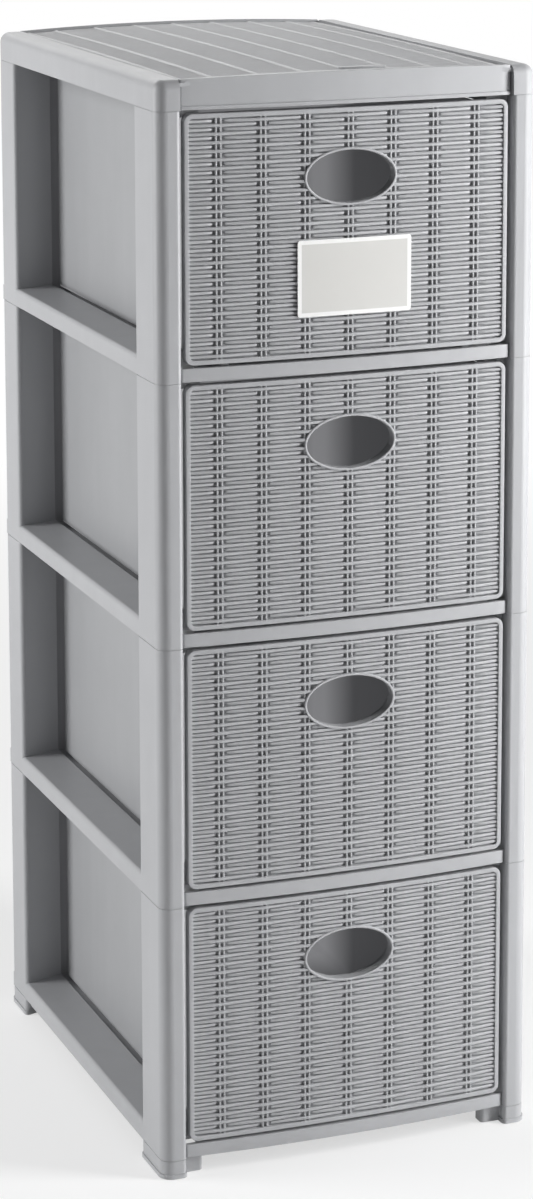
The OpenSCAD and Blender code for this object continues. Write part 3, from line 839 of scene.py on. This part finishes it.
# ---------------------------------------------------------------- floor, light and camera
FADE_FROM = 0.4         # square of the distance at which the floor starts to turn white
FADE_RATE = 0.25
WHITE_NEAR, WHITE_MORE = 0.6, 0.4       # share of white near the tower, and what is added

clear()
bpy.ops.mesh.primitive_plane_add(size=12, location=(0, 0, -0.0005))
floor = settle("floor")
floor_look = Finish("pale_floor", Roughness=0.9, Base_Color=(0.9, 0.9, 0.9, 1))
seen_by = [floor_look.add("ShaderNodeLightPath", out=k)
           for k in ("Is Camera Ray", "Is Glossy Ray", "Is Transmission Ray")]
# White takes over with the distance from the tower, where the shadow ends
fx, fy = floor_look.axes((0, 1))
far = floor_look.calc("MAXIMUM", (fx * fx + fy * fy - FADE_FROM) * FADE_RATE, 0)
share = floor_look.calc("MINIMUM", far, 1) * WHITE_MORE + WHITE_NEAR
mirrored_or_through = floor_look.calc("MAXIMUM", *seen_by[1:])
seen_part = floor_look.calc("MAXIMUM", seen_by[0], mirrored_or_through) * share
shaded = Shade(floor_look, floor_look.shader.outputs[0])
white = floor_look.add("ShaderNodeEmission")
blend = floor_look.add("ShaderNodeMixShader", {}, {0: seen_part, 1: shaded, 2: white})
floor_look.links.new(blend.socket, floor_look.nodes["Material Output"].inputs[0])
floor.data.materials.append(floor_look.mat)


def lamp(name, place, aim, size, watts):
    """A rectangular area light that faces a point."""
    clear()
    bpy.ops.object.light_add(type="AREA", location=place)
    obj = bpy.context.object
    obj.name = name
    obj.data.shape = "RECTANGLE"
    obj.data.size, obj.data.size_y = size
    obj.data.energy = watts
    obj.rotation_euler = (Vector(aim) - Vector(place)).to_track_quat("-Z", "Y").to_euler()


lamp("left_softbox", (-2.25, 0.7, 1.0), (0, 0, 0.4), (1.0, 2.0), 49)
lamp("right_softbox", (1.05, -0.82, 0.75), (0, -0.2, 0.42), (0.4, 1.5), 28)
lamp("rear_top_softbox", (0.2, 2.0, 1.7), (0, 0, 0.7), (1.6, 0.6), 9)

# World: white where it is seen, dim where it lights
world = bpy.data.worlds.new("studio")
bpy.context.scene.world = world
world.use_nodes = True
wn, wl = world.node_tree.nodes, world.node_tree.links
wn.clear()
rays = wn.new("ShaderNodeLightPath")
mirrored, direct = wn.new("ShaderNodeMath"), wn.new("ShaderNodeMath")
mirrored.operation = direct.operation = "MAXIMUM"
seen, lit = wn.new("ShaderNodeBackground"), wn.new("ShaderNodeBackground")
seen.inputs["Color"].default_value = (1, 1, 1, 1)
lit.inputs["Color"].default_value = (0.08, 0.08, 0.082, 1)
choice = wn.new("ShaderNodeMixShader")
done = wn.new("ShaderNodeOutputWorld")
wl.new(rays.outputs["Is Glossy Ray"], mirrored.inputs[0])
wl.new(rays.outputs["Is Transmission Ray"], mirrored.inputs[1])
wl.new(rays.outputs["Is Camera Ray"], direct.inputs[0])
wl.new(mirrored.outputs[0], direct.inputs[1])
wl.new(direct.outputs[0], choice.inputs[0])
wl.new(lit.outputs[0], choice.inputs[1])
wl.new(seen.outputs[0], choice.inputs[2])
wl.new(choice.outputs[0], done.inputs[0])

# Camera: fitted to the photograph's seams and edges
EYE = Vector((-0.90161, -2.16448 + FRONT_Y, 1.05682))
YAW, PITCH_DOWN, ROLL = 0.3696, 0.167, -0.002
FOCAL_PX, FRAME_PX, SENSOR_MM = 3378.5, 1199, 36
forward = Vector((math.sin(YAW) * math.cos(PITCH_DOWN), math.cos(YAW) * math.cos(PITCH_DOWN),
                  -math.sin(PITCH_DOWN)))
flat_right = Vector((math.cos(YAW), -math.sin(YAW), 0))
flat_up = flat_right.cross(forward)
right = flat_right * math.cos(ROLL) + flat_up * math.sin(ROLL)
up = flat_up * math.cos(ROLL) - flat_right * math.sin(ROLL)
camera = bpy.data.objects.new("camera", bpy.data.cameras.new("camera"))
bpy.context.scene.collection.objects.link(camera)
camera.matrix_world = Matrix((
    (right.x, up.x, -forward.x, EYE.x),
    (right.y, up.y, -forward.y, EYE.y),
    (right.z, up.z, -forward.z, EYE.z),
    (0, 0, 0, 1)))
camera.data.sensor_width = SENSOR_MM
camera.data.lens = FOCAL_PX / FRAME_PX * SENSOR_MM
camera.data.shift_y = -0.28
camera.data.clip_start, camera.data.clip_end = 0.05, 50
bpy.context.scene.camera = camera
bpy.context.scene.view_settings.view_transform = "Standard"
